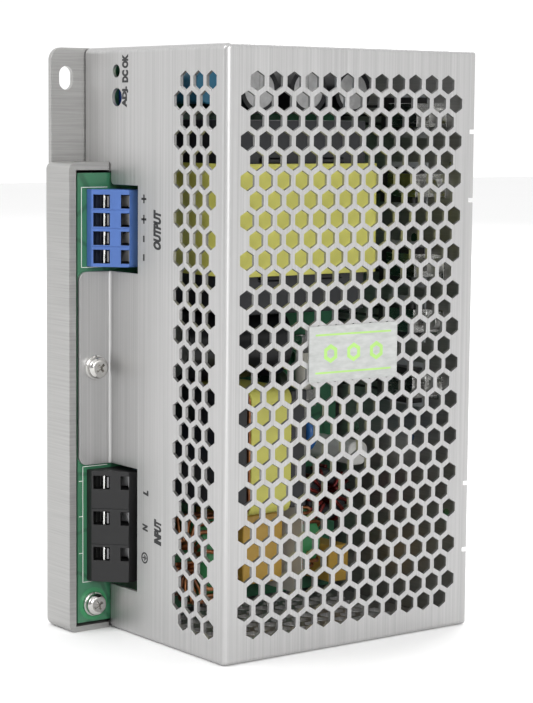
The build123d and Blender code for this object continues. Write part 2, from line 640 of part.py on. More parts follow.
def board_parts():
    """Everything small that stands on the board."""
    fuse_x, fuse_y = BOARD_TOP + 4.2, 66.0
    fuse = rod_z(60.0, 80.0, fuse_x, fuse_y, 2.5)
    holders = []
    for z in (59.5, 75.5):
        holder = box(BOARD_TOP, BOARD_TOP + 7.2, fuse_y - 2.8, fuse_y + 2.8, z, z + 5.0)
        holders.append(holder - rod_z(z - 1, z + 6, fuse_x, fuse_y, 2.55))
    chips = [block(BOARD_TOP + 1.6, y, z, 5.0, 4.2, 0.3) for y, z in ((20.0, 84.0), (10.0, 76.0), (24.0, 141.0))]
    chips += [block(BOARD_TOP + 3.6, y, 96.0, 6.4, 4.6, 0.3) for y in (8.0, 66.0)]
    return {
        "x_capacitors": [block(38.0, 37.0, 22.5, 14.0, 20.0), block(31.0, 70.5, 13.0, 7.5, 11.0)],
        "line_choke_base": choke_base(),
        "front_capacitor": rod_x(BOARD_TOP, 39.0, 17.0, 153.5, 5.0),
        "y_capacitors": [disc_part(5.0, 52.0, 3.6, 3.2), disc_part(10.0, 52.0, 3.6, 3.2)],
        "varistor": disc_part(63.0, 52.0, 6.0, 3.8),
        "inrush_thermistor": disc_part(52.5, 66.0, 6.0, 4.6),
        "fuse": fuse,
        "fuse_clips": holders,
        "relay": block(BOARD_TOP + 15.0, 50.5, 50.0, 10.0, 15.0),
        "control_chips": chips,
        "control_card": box(BOARD_TOP, BOARD_TOP + 22.0, 66.0, 67.2, 100.0, 125.0),
        "barrier_sheet": box(BOARD_TOP, 44.0, 46.2, 46.7, 9.0, 40.0),
        "fixing_glue": block(BOARD_TOP + 20.0, 75.0, 46.2, 7.0, 7.0, 2.6),
    }


# ---------------------------------------------------------------- power devices on the rear wall
def pads():
    return [box(DEVICE_X[0] - 1, DEVICE_X[1] + 0.6, WALL_IN - 0.3, WALL_IN, z - 6.5, z + 6.5) for z in DEVICE_Z]


def devices():
    """Flat power packages pressed against the wall, each with three legs down to the board."""
    y1 = WALL_IN - 0.3
    leg_y = WALL_IN - 2.8
    group = []
    for z in DEVICE_Z:
        body = box(*DEVICE_X, y1 - 4.6, y1, z - 5.1, z + 5.1)
        body = fillet(edges_at(body, Axis.Z, (DEVICE_X[1], y1 - 4.6)), 1.0)
        for step in (-2.54, 0.0, 2.54):
            body += box(BOARD_TOP, DEVICE_X[0] + 1, leg_y - 0.25, leg_y + 0.25, z + step - 0.4, z + step + 0.4)
        group.append(body)
    return group


def spring_clips():
    """Sheet spring that bears on each device, held by a screw through its foot."""
    t = CLIP
    face = WALL_IN - 4.9
    heel = DEVICE_X[1] + 1.0
    group = []
    for z in DEVICE_Z:
        arm = box(DEVICE_X[0] + 4, heel + t, face - t, face, z - 3.4, z + 3.4)
        riser = box(heel, heel + t, face - t, WALL_IN, z - 3.4, z + 3.4)
        foot = box(heel, CLIP_X + 3.2, WALL_IN - t, WALL_IN, z - 3.4, z + 3.4)
        group.append(arm + riser + foot - rod_y(face - 5, WALL_IN + 1, CLIP_X, z, M3 + HOLE))
    return group


def clip_screws():
    """Screws from inside, threaded into the rear wall."""
    group = []
    seat = WALL_IN - CLIP
    for z in DEVICE_Z:
        head = rod_y(seat - 1.8, seat, CLIP_X, z, 2.2)
        group.append(head + rod_y(seat, WALL_BACK - 0.1, CLIP_X, z, M3))
    return group


# ---------------------------------------------------------------- rail bracket and latch
def bracket_screw_spots():
    return [(x, z) for x in (BRACKET_X[0] + 3.2, BRACKET_X[1] - 3.2) for z in (BRACKET_Z[0] + 6, BRACKET_Z[1] - 5.5)]


def rail_bracket():
    """Plate on the rear wall with the fixed hook, two guides for the latch and the spring's post."""
    x0, x1 = BRACKET_X
    z0, z1 = BRACKET_Z
    top = RAIL_Z + RAIL_H / 2 + 0.2
    body = soften(box(x0, x1, WALL_BACK, SEAT, z0, z1), Axis.Y, 2.0)
    body += box(x0, x1, SEAT - 0.5, HOOK_BACK, top, top + 4.4)
    body += box(x0, x1, SEAT + RAIL_EDGE, HOOK_BACK, top - 2.5, top)
    half = LATCH_W / 2
    for side in (-1, 1):
        near = MID_X + side * (half + LATCH_WING + 0.3)
        lip = MID_X + side * (half + 0.3)
        far = MID_X + side * (half + LATCH_WING + 2.8)
        body += box(min(near, far), max(near, far), SEAT - 0.5, HOOK_BACK, z0, z0 + 14)
        body += box(min(lip, far), max(lip, far), SEAT + 1.8, HOOK_BACK, z0, z0 + 14)
    body += box(MID_X - 1.9, MID_X + 1.9, SEAT - 0.5, SEAT + 2.4, z0, SPRING_Z[0])
    for x, z in bracket_screw_spots():
        body -= rod_y(WALL_BACK - 1, SEAT + 1, x, z, M3 + HOLE)
    return body


def rail_latch():
    """Sliding foot: its top edge hooks behind the rail, its bottom end takes a screwdriver."""
    half = LATCH_W / 2
    top = RAIL_Z - RAIL_H / 2 - 0.2
    bottom = BRACKET_Z[0] - 14
    y0 = SEAT + 0.3
    body = soften(box(MID_X - half, MID_X + half, y0, HOOK_BACK - 0.4, bottom, top), Axis.Y, 1.0)
    body += box(MID_X - half, MID_X + half, SEAT + RAIL_EDGE, HOOK_BACK - 0.4, top - 2, top + 2.2)
    body += box(MID_X - half - LATCH_WING, MID_X + half + LATCH_WING, y0, y0 + 1.2, BRACKET_Z[0] + 1, top - 3)
    body -= box(MID_X - 2.4, MID_X + 2.4, y0 - 1, HOOK_BACK + 1, SPRING_Z[0] - 2 - LATCH_TRAVEL, SPRING_Z[1])
    return body - box(MID_X - 3, MID_X + 3, y0 - 1, HOOK_BACK + 1, bottom + 2.6, bottom + 5.2)


def latch_spring():
    """Square-wire compression spring between the bracket's post and the latch's window."""
    z0, z1 = SPRING_Z
    path = Pos(MID_X, SEAT + 1.6, z0 + 0.3) * Helix(1.6, z1 - z0 - 0.6, 1.0)
    section = Plane(path @ 0, z_dir=path % 0) * Rectangle(0.4, 0.4)
    return sweep(section, path, is_frenet=True)


# ---------------------------------------------------------------- all nodes
def nodes():
    model = {
        "chassis": chassis(),
        "cover": cover(),
        "badge_plate": badge(),
        "insulating_liner": liner(),
        "circuit_board": board(),
        "board_posts": posts(),
        "board_screws": board_screws(),
        "lock_washers": lock_washers(),
        "case_screws": case_screws(),
        "output_terminal_block": terminal_block(OUTPUT_Z, OUTPUT_PITCH, OUTPUT_POLES),
        "input_terminal_block": terminal_block(INPUT_Z, INPUT_PITCH, INPUT_POLES),
        "output_contacts": contacts(OUTPUT_Z, OUTPUT_PITCH, OUTPUT_POLES),
        "input_contacts": contacts(INPUT_Z, INPUT_PITCH, INPUT_POLES),
        "status_led": led(),
        "trimmer_body": trimmer(),
        "trimmer_rotor": trimmer_rotor(),
        "transformer_core": transformer_core(),
        "transformer_bobbin": transformer_bobbin(),
        "transformer_winding": transformer_winding(),
        "transformer_tape": transformer_tape(),
        "boost_choke_core": boost_choke_core(),
        "boost_choke_coil": boost_choke_coil(),
        "boost_choke_tape": boost_choke_tape(),
        "output_capacitor_cans": output_cans(),
        "output_capacitor_sleeves": output_sleeves(),
        "bulk_capacitor_can": bulk_can(),
        "bulk_capacitor_sleeve": bulk_sleeve(),
        "power_devices": devices(),
        "thermal_pads": pads(),
        "device_clips": spring_clips(),
        "clip_screws": clip_screws(),
        "rail_bracket": rail_bracket(),
        "rail_latch": rail_latch(),
        "latch_spring": latch_spring(),
    }
    model.update(ring_choke("line_choke_front", Pos(40.5, 13.2, 23.0) * Rot(90, 0, 0), 9.0, 11.5, 5.6))
    model.update(ring_choke("line_choke_rear", Pos(28.2, 54.1, 22.0) * Rot(90, 0, 0), 9.6, 8.6, 4.4))
    model.update(ring_choke("output_choke", Pos(21.5, 70.0, 33.0) * Rot(0, 90, 0), 9.0, 7.6, 3.6))
    model.update(board_parts())
    for pole in range(OUTPUT_POLES):
        model[f"output_clamp_{pole + 1}"] = clamp_spring(OUTPUT_Z, OUTPUT_PITCH, pole)
    for pole in range(INPUT_POLES):
        model[f"input_clamp_{pole + 1}"] = clamp_spring(INPUT_Z, INPUT_PITCH, pole)
    return model


os.makedirs("parts", exist_ok=True)
for name, shape in nodes().items():
    save(name, shape)
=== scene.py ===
"""Looks of the DIN rail power supply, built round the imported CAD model. Lengths are millimetres in the case's
own axes until place() turns them into the frame's metres: X from the base plate's outer face, Y from the
cover's front, Z up from the bottom.
"""
import math

import bmesh
import bpy
from mathutils import Matrix, Vector


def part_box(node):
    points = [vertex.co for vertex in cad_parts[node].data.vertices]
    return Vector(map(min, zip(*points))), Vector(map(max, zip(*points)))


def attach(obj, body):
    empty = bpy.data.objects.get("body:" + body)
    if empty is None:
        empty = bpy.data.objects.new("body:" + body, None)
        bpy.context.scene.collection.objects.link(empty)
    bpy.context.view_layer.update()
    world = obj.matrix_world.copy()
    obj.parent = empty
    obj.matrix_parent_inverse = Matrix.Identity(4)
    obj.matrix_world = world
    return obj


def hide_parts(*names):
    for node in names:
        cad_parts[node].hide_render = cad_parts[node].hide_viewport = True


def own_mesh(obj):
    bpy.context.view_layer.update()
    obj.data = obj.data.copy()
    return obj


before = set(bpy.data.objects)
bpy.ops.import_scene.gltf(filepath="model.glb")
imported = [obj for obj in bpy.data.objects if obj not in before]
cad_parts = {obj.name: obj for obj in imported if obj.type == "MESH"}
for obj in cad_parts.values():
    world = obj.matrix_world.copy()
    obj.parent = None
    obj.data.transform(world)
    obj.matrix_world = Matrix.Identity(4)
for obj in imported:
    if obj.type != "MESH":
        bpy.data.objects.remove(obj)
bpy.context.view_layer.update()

MM = 0.001
TRAY_OUT = 13.2                    # the tray's lip in front of the cover
CORNER = Vector((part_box("chassis")[0].x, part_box("chassis")[0].y + TRAY_OUT * MM, 0.0))
ROOT = "case"


def place(x, y, z):
    """A point of the case, in the frame's metres."""
    return CORNER + Vector((x, y, z)) * MM


def case_box(node):
    """The two corners of a node's box, in case millimetres."""
    low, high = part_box(node)
    return (low - CORNER) / MM, (high - CORNER) / MM


# ---------------------------------------------------------------- material helpers
class Paint:
    """One procedural material: a Principled shader and the nodes that feed it, all in object coordinates."""

    def __init__(self, name, colour, rough=0.5, metal=0.0, **sockets):
        self.material = bpy.data.materials.new(name)
        self.material.use_nodes = True
        self.tree = self.material.node_tree
        self.shader = self.tree.nodes["Principled BSDF"]
        self.colour = (*colour, 1.0)
        self.shader.inputs["Base Color"].default_value = self.colour
        self.shader.inputs["Roughness"].default_value = rough
        self.shader.inputs["Metallic"].default_value = metal
        for socket, value in sockets.items():
            self.shader.inputs[socket.replace("_", " ")].default_value = value
        self.where = self.tree.nodes.new("ShaderNodeTexCoord").outputs["Object"]

    def link(self, source, target):
        self.tree.links.new(source, target)

    def noise(self, scale, stretch=(1, 1, 1), detail=3.0):
        """Noise, scale being cells per metre and stretch squeezing them along each axis."""
        mapping = self.tree.nodes.new("ShaderNodeMapping")
        mapping.inputs["Scale"].default_value = stretch
        node = self.tree.nodes.new("ShaderNodeTexNoise")
        node.inputs["Scale"].default_value = scale
        node.inputs["Detail"].default_value = detail
        self.link(self.where, mapping.inputs["Vector"])
        self.link(mapping.outputs[0], node.inputs["Vector"])
        return node.outputs["Fac"]

    def cells(self, scale):
        """Distance to the nearest border between cells, scale being cells per metre."""
        node = self.tree.nodes.new("ShaderNodeTexVoronoi")
        node.feature = "DISTANCE_TO_EDGE"
        node.inputs["Scale"].default_value = scale
        self.link(self.where, node.inputs["Vector"])
        return node.outputs["Distance"]

    def spread(self, value, low, high, start=0.3, end=0.7):
        """Maps a value to a number between low and high."""
        node = self.tree.nodes.new("ShaderNodeMapRange")
        node.inputs["From Min"].default_value = start
        node.inputs["From Max"].default_value = end
        node.inputs["To Min"].default_value = low
        node.inputs["To Max"].default_value = high
        self.link(value, node.inputs["Value"])
        return node.outputs["Result"]

    def tint(self, value, *stops):
        """Colour ramp: stops are (position, colour)."""
        node = self.tree.nodes.new("ShaderNodeValToRGB")
        ramp = node.color_ramp
        while len(ramp.elements) < len(stops):
            ramp.elements.new(0.5)
        for element, (position, colour) in zip(ramp.elements, stops):
            element.position = position
            element.color = (*colour, 1.0)
        self.link(value, node.inputs["Fac"])
        self.link(node.outputs["Color"], self.shader.inputs["Base Color"])
        return self

    def vary(self, value, amount):
        """Lightens and darkens the base colour by a value."""
        dark = tuple(c * (1 - amount) for c in self.colour[:3])
        light = tuple(min(1.0, c * (1 + amount)) for c in self.colour[:3])
        return self.tint(value, (0.3, dark), (0.7, light))

    def roughen(self, value, low, high):
        self.link(self.spread(value, low, high), self.shader.inputs["Roughness"])
        return self

    def bump(self, value, height, strength=0.3):
        node = self.tree.nodes.new("ShaderNodeBump")
        node.inputs["Strength"].default_value = strength
        node.inputs["Distance"].default_value = height * MM
        self.link(value, node.inputs["Height"])
        self.link(node.outputs["Normal"], self.shader.inputs["Normal"])
        return self


def brushed(name, colour, stretch, rough=(0.34, 0.48), metal=0.85):
    """Metal with a fine grain: long along the axis with the small stretch."""
    paint = Paint(name, colour, metal=metal)
    grain = paint.noise(1.0, stretch, detail=5.0)
    paint.vary(grain, amount=0.12)
    paint.roughen(grain, *rough)
    return paint.bump(grain, height=0.02, strength=0.25).material


def moulded(name, colour, rough=0.45, grain=2500.0, **sockets):
    """Moulded plastic with a fine spark-eroded texture."""
    paint = Paint(name, colour, rough, **sockets)
    paint.vary(paint.noise(180.0), amount=0.06)
    return paint.bump(paint.noise(grain), height=0.02).material


def plated(name, colour, rough=(0.22, 0.42)):
    """Bright plated metal, faintly cloudy."""
    paint = Paint(name, colour, metal=1.0)
    cloud = paint.noise(300.0)
    paint.vary(cloud, amount=0.04)
    return paint.roughen(cloud, *rough).material


def wrapped(name, colour, stretch):
    """Plastic tape: fine creases along the wrap and a slight gloss."""
    paint = Paint(name, colour, 0.38)
    paint.vary(paint.noise(60.0), amount=0.08)
    return paint.bump(paint.noise(1.0, stretch), height=0.15, strength=0.35).material


def enamel(name, colour, dark):
    """Enamelled copper wire, darker where the enamel is thick."""
    paint = Paint(name, colour, 0.3, 0.9, Coat_Weight=0.5)
    return paint.tint(paint.noise(350.0), (0.3, dark), (0.65, colour)).material


def solder_mask():
    """Green lacquer over copper: the copper's tracks show lighter and a little raised."""
    paint = Paint("solder_mask", (0.028, 0.13, 0.068), 0.35, Coat_Weight=0.3)
    tracks = paint.spread(paint.cells(75.0), low=0.0, high=1.0, start=0.02, end=0.05)
    paint.tint(tracks, (0.0, (0.022, 0.10, 0.052)), (1.0, (0.034, 0.15, 0.076)))
    return paint.bump(tracks, height=0.03).material


def make_materials():
    """Every material of the object, by the name that the tables below use."""
    upright = (2200.0, 2200.0, 12.0)
    across = (30.0, 60.0, 2400.0)
    return {
        "cover": brushed("cover_aluminium", (0.46, 0.457, 0.455), upright),
        "chassis": brushed("chassis_aluminium", (0.39, 0.387, 0.38), across),
        "label": brushed("label_aluminium", (0.43, 0.44, 0.43), (300.0, 300.0, 900.0), (0.5, 0.6), 0.2),
        "green_ink": moulded("green_ink", (0.36, 0.60, 0.16), 0.5),
        "black_ink": moulded("black_ink", (0.012, 0.012, 0.013), 0.5),
        "white_ink": moulded("white_ink", (0.80, 0.81, 0.78), 0.5),
        "film": moulded("liner_film", (0.02, 0.02, 0.02), 0.3),
        "board": solder_mask(),
        "light_mask": moulded("light_mask", (0.03, 0.20, 0.08), 0.3),
        "steel": plated("plated_steel", (0.62, 0.615, 0.60)),
        "tin": plated("tinned_contact", (0.74, 0.74, 0.72), (0.18, 0.32)),
        "spring": brushed("spring_steel", (0.60, 0.60, 0.59), (300.0, 300.0, 2200.0), (0.15, 0.3), 1.0),
        "blue": moulded("terminal_blue", (0.055, 0.125, 0.36), 0.45),
        # dark copies of the terminal plastics: painted shade for the walls of the terminal slots
        "blue_painted_shade": moulded("terminal_blue_painted_shade", (0.008, 0.014, 0.035), 0.5),
        "black_painted_shade": moulded("terminal_black_painted_shade", (0.002, 0.002, 0.002), 0.5),
        # plated steel darkened well below its own colour: painted shade of the push slots the clamps sit in
        "clamp": plated("clamp_steel_painted_shade", (0.22, 0.22, 0.225), (0.25, 0.4)),
        "screw": plated("nickel_screw", (0.56, 0.55, 0.53), (0.10, 0.24)),
        "black": moulded("terminal_black", (0.007, 0.007, 0.0075), 0.5),
        "lamp": moulded("lamp_lens", (0.16, 0.38, 0.12), 0.25, Transmission_Weight=0.2),
        "trimmer": moulded("trimmer_blue", (0.02, 0.07, 0.40), 0.35),
        "rotor": moulded("rotor_white", (0.74, 0.74, 0.68), 0.4),
        "ferrite": moulded("ferrite", (0.022, 0.023, 0.027), 0.38, 1200.0),
        "device": moulded("device_black", (0.014, 0.014, 0.014), 0.35),
        "bobbin": moulded("bobbin_black", (0.012, 0.012, 0.012), 0.35),
        "copper": enamel("enamelled_copper", (0.62, 0.25, 0.10), (0.22, 0.07, 0.03)),
        "red_copper": enamel("red_enamel", (0.30, 0.035, 0.03), (0.10, 0.01, 0.01)),
        "tape": wrapped("yellow_tape", (0.60, 0.58, 0.13), (30.0, 30.0, 500.0)),
        "can": brushed("can_aluminium", (0.66, 0.66, 0.66), (500.0, 500.0, 500.0), (0.35, 0.5), 0.8),
        "sleeve": moulded("sleeve_black", (0.012, 0.012, 0.014), 0.28),
        "pad": moulded("thermal_pad", (0.42, 0.44, 0.46), 0.8),
        "latch": moulded("latch_black", (0.02, 0.02, 0.021), 0.45),
        "green_core": moulded("green_core", (0.05, 0.24, 0.09), 0.3),
        "amber": moulded("amber_box", (0.58, 0.36, 0.07), 0.3, 1200.0),
        "sleeve_blue": moulded("sleeve_blue", (0.05, 0.25, 0.42), 0.3),
        "disc_blue": moulded("disc_blue", (0.03, 0.14, 0.42), 0.25),
        "disc_dark": moulded("disc_dark", (0.02, 0.03, 0.02), 0.3),
        "ceramic": moulded("fuse_ceramic", (0.72, 0.70, 0.62), 0.35),
        "card": moulded("barrier_card", (0.60, 0.59, 0.56), 0.6),
        "silicone": moulded("silicone", (0.75, 0.75, 0.72), 0.45, 300.0),
    }


PAINT = make_materials()

# CAD node: its material here, and the bevel of its sharp edges in millimetres
FINISH = {
    "chassis": ("chassis", 0.25),
    "cover": ("cover", 0.12),
    "badge_plate": ("label", 0.1),
    "insulating_liner": ("film", 0.1),
    "circuit_board": ("board", 0.1),
    "board_posts": ("steel", 0.15),
    "board_screws": ("screw", 0.1),
    "lock_washers": ("steel", 0.12),
    "case_screws": ("screw", 0.1),
    "output_terminal_block": ("blue", 0.14),
    "input_terminal_block": ("black", 0.14),
    "output_contacts": ("tin", 0.08),
    "input_contacts": ("tin", 0.08),
    "status_led": ("lamp", 0.1),
    "trimmer_body": ("trimmer", 0.15),
    "transformer_core": ("ferrite", 0.4),
    "transformer_bobbin": ("bobbin", 0.2),
    "transformer_winding": ("copper", 0.4),
    "transformer_tape": ("tape", 0.1),
    "boost_choke_core": ("ferrite", 0.4),
    "boost_choke_coil": ("copper", 0.2),
    "boost_choke_tape": ("tape", 0.1),
    "output_capacitor_cans": ("can", 0.1),
    "output_capacitor_sleeves": ("sleeve", 0.08),
    "bulk_capacitor_can": ("can", 0.1),
    "bulk_capacitor_sleeve": ("sleeve", 0.1),
    "power_devices": ("device", 0.12),
    "thermal_pads": ("pad", 0.05),
    "device_clips": ("spring", 0.1),
    "clip_screws": ("steel", 0.15),
    "rail_bracket": ("steel", 0.2),
    "rail_latch": ("latch", 0.25),
    "line_choke_front_core": ("green_core", 0.1),
    "line_choke_rear_core": ("green_core", 0.1),
    "output_choke_core": ("ferrite", 0.1),
    "x_capacitors": ("amber", 0.4),
    "front_capacitor": ("sleeve_blue", 0.3),
    "line_choke_base": ("bobbin", 0.2),
    "y_capacitors": ("disc_blue", 0.1),
    "varistor": ("disc_blue", 0.1),
    "inrush_thermistor": ("disc_dark", 0.1),
    "fuse": ("ceramic", 0.2),
    "fuse_clips": ("spring", 0.15),
    "relay": ("device", 0.3),
    "control_chips": ("device", 0.12),
    "control_card": ("board", 0.1),
    "barrier_sheet": ("card", 0.08),
    "fixing_glue": ("silicone", 0.6),
}
RIDES_ON = {"rail_latch": "rail_latch"}     # the other nodes finished here ride on the case
SMOOTH_ANGLE = math.radians(32)    # below this, two faces shade as one
FLAT_ANGLE = math.radians(0.6)     # below this, two faces are joined into one
BEVEL_ANGLE = math.radians(35)     # above this, an edge is bevelled
WELD = 1e-6                        # vertices closer than this, in metres, are one
# painted shade: the dark material that each terminal block's slot walls get
SLOT_SHADE_PAINTS = {"output_terminal_block": "blue_painted_shade", "input_terminal_block": "black_painted_shade"}
SLOT_SHADE_DEPTH = 0.45 * MM           # how far inside the outline a slot's wall gets the painted shade


# ---------------------------------------------------------------- mesh helpers
def keep(name, mesh, paint, body=ROOT):
    """Links a finished mesh as a piece that rides on a body."""
    obj = bpy.data.objects.new(name, mesh)
    bpy.context.scene.collection.objects.link(obj)
    if not mesh.materials:
        mesh.materials.append(PAINT[paint])
    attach(obj, body)
    return obj


def shade(mesh):
    """Smooth shading with sharp edges where faces meet at a clear angle."""
    work = bmesh.new()
    work.from_mesh(mesh)
    for face in work.faces:
        face.smooth = True
    for edge in work.edges:
        edge.smooth = len(edge.link_faces) == 2 and edge.calc_face_angle() < SMOOTH_ANGLE
    work.to_mesh(mesh)
    work.free()


def rounded_copy(node, width):
    """A copy of a CAD node's mesh with its flat faces joined up and its sharp edges bevelled."""
    work = bmesh.new()
    work.from_mesh(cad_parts[node].data)
    bmesh.ops.remove_doubles(work, verts=work.verts, dist=WELD)
    bmesh.ops.dissolve_limit(work, angle_limit=FLAT_ANGLE, verts=work.verts, edges=work.edges)
    mesh = bpy.data.meshes.new(node + "_finished")
    work.to_mesh(mesh)
    work.free()
    obj = bpy.data.objects.new(node + "_bevel", mesh)
    bpy.context.scene.collection.objects.link(obj)
    bevel = obj.modifiers.new("bevel", "BEVEL")
    bevel.width = width * MM
    bevel.segments = 2
    bevel.limit_method = "ANGLE"
    bevel.angle_limit = BEVEL_ANGLE
    shade(mesh)
    weigh = obj.modifiers.new("flat faces stay flat", "WEIGHTED_NORMAL")
    weigh.keep_sharp = True
    result = baked(obj)
    bpy.data.objects.remove(obj)
    return result


def baked(obj):
    """The object's mesh with its modifiers applied."""
    graph = bpy.context.evaluated_depsgraph_get()
    return bpy.data.meshes.new_from_object(obj.evaluated_get(graph))


def paint_slot_shade(mesh, paint):
    """Paints shade into a terminal block's slots: the faces well inside its outline, which are the slots'
    walls, get a darker material that stands in for the shade there.
    """
    spots = [v.co for v in mesh.vertices]
    directions = [Vector(d) for d in ((1, 0, 0), (-1, 0, 0), (0, 1, 0), (0, -1, 0), (0, 0, 1), (0, 0, -1))]
    directions.append(Vector((1, -1, 0)).normalized())
    limits = [max(spot @ d for spot in spots) - SLOT_SHADE_DEPTH for d in directions]
    mesh.materials.append(PAINT[paint])
    for face in mesh.polygons:
        if all(face.center @ d < limit for d, limit in zip(directions, limits)):
            face.material_index = 1


def finish_nodes():
    """Every CAD node shows as a bevelled copy in its own material."""
    for node, (paint, width) in FINISH.items():
        mesh = rounded_copy(node, width)
        mesh.materials.clear()
        mesh.materials.append(PAINT[paint])
        if node in SLOT_SHADE_PAINTS:
            paint_slot_shade(mesh, SLOT_SHADE_PAINTS[node])
        piece = keep(node + "_piece", mesh, paint, RIDES_ON.get(node, ROOT))
        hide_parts(node)


def from_bmesh(name, work, paint):
    """Turns a finished bmesh into a piece of the case."""
    mesh = bpy.data.meshes.new(name)
    bmesh.ops.recalc_face_normals(work, faces=work.faces)
    work.to_mesh(mesh)
    work.free()
    shade(mesh)
    keep(name, mesh, paint)


def slab(work, low, high):
    """Adds a block between two corners given in case millimetres."""
    a, b = place(*low), place(*high)
    made = bmesh.ops.create_cube(work, size=1.0)
    bmesh.ops.scale(work, verts=made["verts"], vec=b - a)
    bmesh.ops.translate(work, verts=made["verts"], vec=(a + b) / 2)


def spun(work, profile, centre, axis, steps=48):
    """Adds a solid of revolution: profile is (radius, height) pairs from the axis and back to it."""
    turn = Vector((0, 0, 1)).rotation_difference(Vector(axis)).to_matrix()
    rings = []
    for radius, height in profile:
        if radius < 1e-9:
            rings.append([work.verts.new(place(*centre) + turn @ Vector((0, 0, height)) * MM)])
            continue
        ring = []
        for k in range(steps):
            angle = 2 * math.pi * k / steps
            spot = Vector((radius * math.cos(angle), radius * math.sin(angle), height))
            ring.append(work.verts.new(place(*centre) + turn @ spot * MM))
        rings.append(ring)
    for a, b in zip(rings, rings[1:]):
        for k in range(steps):
            n = (k + 1) % steps
            face = [a[k % len(a)], a[n % len(a)], b[n % len(b)], b[k % len(b)]]
            work.faces.new(list(dict.fromkeys(face)))


def ring_profile(inner, outer, height):
    """A flat ring's section, for spun()."""
    return (outer, 0), (outer, height), (inner, height), (inner, 0), (outer, 0)


def wire(name, points, radius, paint):
    """Round wire through points in case millimetres, as a mesh piece of the case."""
    curve = bpy.data.curves.new(name, "CURVE")
    curve.dimensions = "3D"
    curve.bevel_depth = radius * MM
    curve.bevel_resolution = 3
    curve.use_fill_caps = True
    spline = curve.splines.new("POLY")
    spline.points.add(len(points) - 1)
    for point, spot in zip(spline.points, points):
        point.co = (*place(*spot), 1.0)
    holder = bpy.data.objects.new(name, curve)
    bpy.context.scene.collection.objects.link(holder)
    mesh = baked(holder)
    bpy.data.objects.remove(holder)
    shade(mesh)
    return keep(name, mesh, paint)


# ---------------------------------------------------------------- wound parts
WIRE_R = 0.6
TURN_STEPS = 40                    # points in one turn
TURN_PITCH = 1.02                  # from turn to turn, in wire diameters
TURN_POWER = 0.22                  # 1 winds an oval turn, and less hugs the core's square section
WINDING_STARTS = (19.0, 199.0)     # where a ring's two windings start, and how far each goes, in degrees
WINDING_SPAN = 142.0


def winding_points(centre, axes, height, outer, inner, start):
    """A wire wound round part of a ring core, which lies about the last of the three axes."""
    inside, outside, half = inner - WIRE_R, outer + WIRE_R, height / 2 + WIRE_R
    turns = int(math.radians(WINDING_SPAN) * inside / (2 * WIRE_R * TURN_PITCH))
    points = []
    for k in range(turns * TURN_STEPS + 1):
        share = k / (turns * TURN_STEPS)
        around = math.radians(start + WINDING_SPAN * share)
        phase = 2 * math.pi * k / TURN_STEPS
        u, v = math.cos(phase), math.sin(phase)
        reach = (inside + outside) / 2 + (outside - inside) / 2 * math.copysign(abs(u) ** TURN_POWER, u)
        rise = half * math.copysign(abs(v) ** TURN_POWER, v)
        spot = Vector(centre)
        spot += Vector(axes[0]) * reach * math.cos(around)
        spot += Vector(axes[1]) * reach * math.sin(around)
        spot += Vector(axes[2]) * rise
        points.append(spot)
    return points


ALONG_Y = ((1, 0, 0), (0, 0, 1), (0, -1, 0))      # a ring's own axes when it lies about Y, and about X
ALONG_X = ((0, 0, -1), (0, 1, 0), (1, 0, 0))

# CAD node: the ring's centre, axes, height, outer and inner radius, and the wire's material
RING_CHOKES = {
    "line_choke_front_windings": ((40.5, 13.2, 23.0), ALONG_Y, 9.0, 11.5, 5.6, "copper"),
    "line_choke_rear_windings": ((28.2, 54.1, 22.0), ALONG_Y, 9.6, 8.6, 4.4, "copper"),
    "output_choke_windings": ((21.5, 70.0, 33.0), ALONG_X, 9.0, 7.6, 3.6, "red_copper"),
}


def ring_windings():
    """Two windings of round wire on each ring core."""
    for node, (centre, axes, height, outer, inner, paint) in RING_CHOKES.items():
        for side, start in enumerate(WINDING_STARTS):
            points = winding_points(centre, axes, height, outer, inner, start)
            piece = wire(f"{node}_{side + 1}", points, WIRE_R, paint)
            if side == 0:
                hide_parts(node)


# ---------------------------------------------------------------- lettering and labels
INK = 0.03                          # thickness of printing
LABEL_RECESS = 0.06                 # depth of the label's face inside its raised rim
LABEL_PROUD = 0.02                  # how far the device stands above that face
LABEL_INSET, LABEL_LINE = 2.2, 0.5  # distance of the device's lines from the label's edge, and their width
HEXAGON_RING = (1.4, 2.6)           # inner and outer radius
HEXAGON_PITCH = 8.0

# words on the front: the text, its patch (X from and to, Z from and to), its slant and its added weight
WORDS = {
    "print_dc_ok": ("DC OK", (20.9, 24.0, 154.2, 162.0), 0.0, 0.075),
    "print_adj": ("ADJ.", (20.9, 24.0, 147.4, 153.2), 0.0, 0.075),
    "print_output": ("OUTPUT", (36.6, 40.3, 109.0, 119.9), 0.25, 0.07),
    "print_input": ("INPUT", (37.4, 40.9, 27.8, 35.0), 0.25, 0.07),
    "print_l": ("L", (31.9, 34.5, 40.7, 42.3), 0.2, 0.07),
    "print_n": ("N", (31.6, 34.2, 30.7, 32.8), 0.2, 0.07),
}
POLE_X = 31.9                       # middle of the signs beside the output terminals
PLUS_Z, MINUS_Z = (122.6, 117.05), (111.7, 106.6)
PLUS_BARS = ((1.2, 0.3), (0.32, 1.2))                      # half sizes along X and Z
MINUS_BAR = (0.35, 0.9)
EARTH_X, EARTH_Z = 32.7, 23.2
EARTH_RING = (1.15, 1.6)            # inner and outer radius
EARTH_STEM = (1.0, 0.19)            # length and half width
EARTH_BARS = ((0.0, 0.85), (0.4, 0.55), (0.8, 0.25))       # distance from the stem's end, and half length
EARTH_BAR_HALF = 0.14


